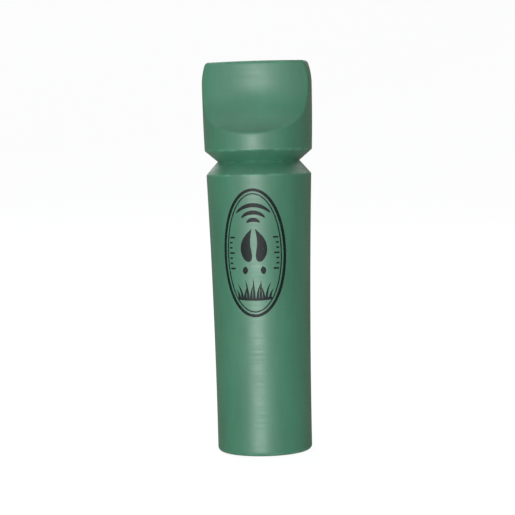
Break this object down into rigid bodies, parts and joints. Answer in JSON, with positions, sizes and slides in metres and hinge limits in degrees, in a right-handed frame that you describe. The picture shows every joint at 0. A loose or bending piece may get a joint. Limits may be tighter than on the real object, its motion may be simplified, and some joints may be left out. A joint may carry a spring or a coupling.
{
  "type": "tube game call",
  "caption": "Blown tube call: tapered moulded barrel, push-in blade mouthpiece, V-shaped neck groove and a removable reed cartridge inside.",
  "frame": {"origin": "centre of the barrel's open end, on the plane of its rim, where the call stands", "axes": "+Z along the barrel from the open end to the lips; -Y is the front, the side that the scoop and the flat of the tone board face; +X is to the right seen from the front"},
  "size_m": [0.0324, 0.032, 0.115],
  "materials": {
    "body_plastic": "satin moulded",
    "ring_rubber": "satin",
    "sleeve_plastic": "machined satin",
    "board_plastic": "moulded satin",
    "reed_film": "polished film",
    "wedge_cork": "cut cork",
    "band_rubber": "satin"
  },
  "bodies": {
    "barrel": {"barrel": "body_plastic"},
    "spigot_rings": {"spigot_ring_upper": "ring_rubber", "spigot_ring_lower": "ring_rubber"},
    "mouthpiece": {"mouthpiece": "body_plastic"},
    "cartridge": {"reed_sleeve": "sleeve_plastic", "sleeve_ring": "ring_rubber", "tone_board": "board_plastic", "reed_wedge": "wedge_cork"},
    "reed": {"reed": "reed_film"},
    "tuning_band": {"tuning_band": "band_rubber"}
  },
  "joints": [
    {"name": "mouthpiece_pull", "type": "slide", "parent": "barrel", "child": "spigot_rings", "axis": [0, 0, 1], "range_m": [0, 0.035]},
    {"name": "mouthpiece_twist", "type": "hinge", "parent": "spigot_rings", "child": "mouthpiece", "pos_m": [0, 0, 0.0859], "axis": [0, 0, 1], "continuous": true},
    {"name": "cartridge_pull", "type": "slide", "parent": "mouthpiece", "child": "cartridge", "axis": [0, 0, -1], "range_m": [0, 0.038]},
    {"name": "tuning_slide", "type": "slide", "parent": "cartridge", "child": "tuning_band", "axis": [0, 0, 1], "range_m": [-0.002, 0.003]},
    {"name": "reed_flex", "type": "hinge", "parent": "cartridge", "child": "reed", "pos_m": [0, -0.0008, 0.0846], "axis": [-1, 0, 0], "range_deg": [-1.6, 3], "stiffness_Nm_per_rad": 0.0145, "deforming": ["reed"]}
  ]
}
